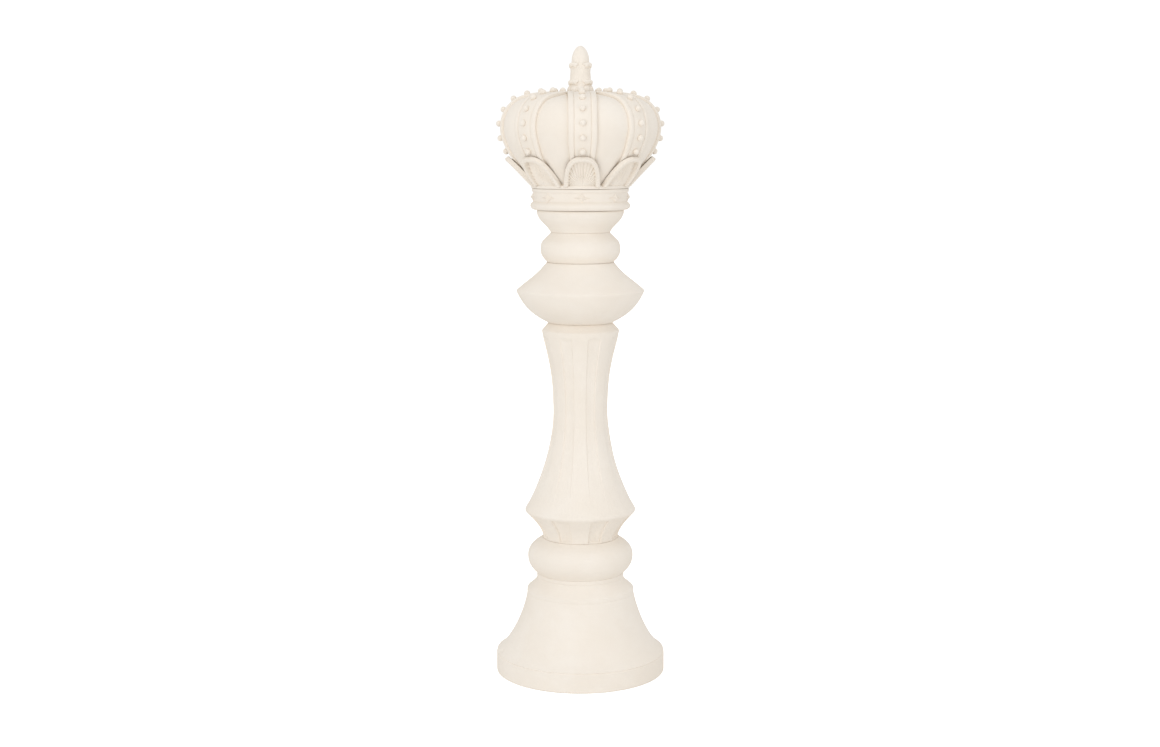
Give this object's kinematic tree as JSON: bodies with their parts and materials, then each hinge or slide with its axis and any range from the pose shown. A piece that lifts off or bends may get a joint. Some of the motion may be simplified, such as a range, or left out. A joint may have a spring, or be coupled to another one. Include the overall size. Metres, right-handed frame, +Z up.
{
  "type": "giant chess piece",
  "caption": "Free-standing giant chess king in pale cast stone: bell foot, ringed and fluted stem, sharp collar, and an arched, pearled crown that lifts off its cup.",
  "frame": {"origin": "centre of the underside, on the floor that the feet stand on", "axes": "+Z up along the turned axis, -Y towards the front, where one crown arch and one stem panel face"},
  "size_m": [0.356, 0.356, 1.307],
  "materials": {
    "cast_stone": "matt, fine-grained, unpainted cream",
    "zinc_steel": "zinc plated",
    "black_rubber": "matt black"
  },
  "bodies": {
    "column": {"base_bell": "cast_stone", "base_plate": "zinc_steel", "rubber_foot_1": "black_rubber", "rubber_foot_2": "black_rubber", "rubber_foot_3": "black_rubber", "rubber_foot_4": "black_rubber", "foot_screw_1": "zinc_steel", "foot_screw_2": "zinc_steel", "foot_screw_3": "zinc_steel", "foot_screw_4": "zinc_steel", "lower_ring": "cast_stone", "stem": "cast_stone", "collar": "cast_stone", "neck_ring": "cast_stone", "neck_cup": "cast_stone", "tie_rod": "zinc_steel", "tie_rod_washer": "zinc_steel", "tie_rod_nut": "zinc_steel"},
    "crown": {"crown_band": "cast_stone", "band_star_1": "cast_stone", "band_star_2": "cast_stone", "band_star_3": "cast_stone", "band_star_4": "cast_stone", "band_star_5": "cast_stone", "band_star_6": "cast_stone", "band_star_7": "cast_stone", "band_star_8": "cast_stone", "crown_cap": "cast_stone", "crown_arch_1": "cast_stone", "crown_arch_2": "cast_stone", "crown_arch_3": "cast_stone", "crown_arch_4": "cast_stone", "crown_arch_5": "cast_stone", "crown_arch_6": "cast_stone", "crown_arch_7": "cast_stone", "crown_arch_8": "cast_stone", "crown_leaf_1": "cast_stone", "crown_leaf_2": "cast_stone", "crown_leaf_3": "cast_stone", "crown_leaf_4": "cast_stone", "crown_leaf_5": "cast_stone", "crown_leaf_6": "cast_stone", "crown_leaf_7": "cast_stone", "crown_leaf_8": "cast_stone", "finial": "cast_stone", "finial_stud": "zinc_steel"}
  },
  "joints": [
    {"name": "crown_lift", "type": "slide", "parent": "column", "child": "crown", "axis": [0, 0, 1], "range_m": [0, 0.08]}
  ]
}
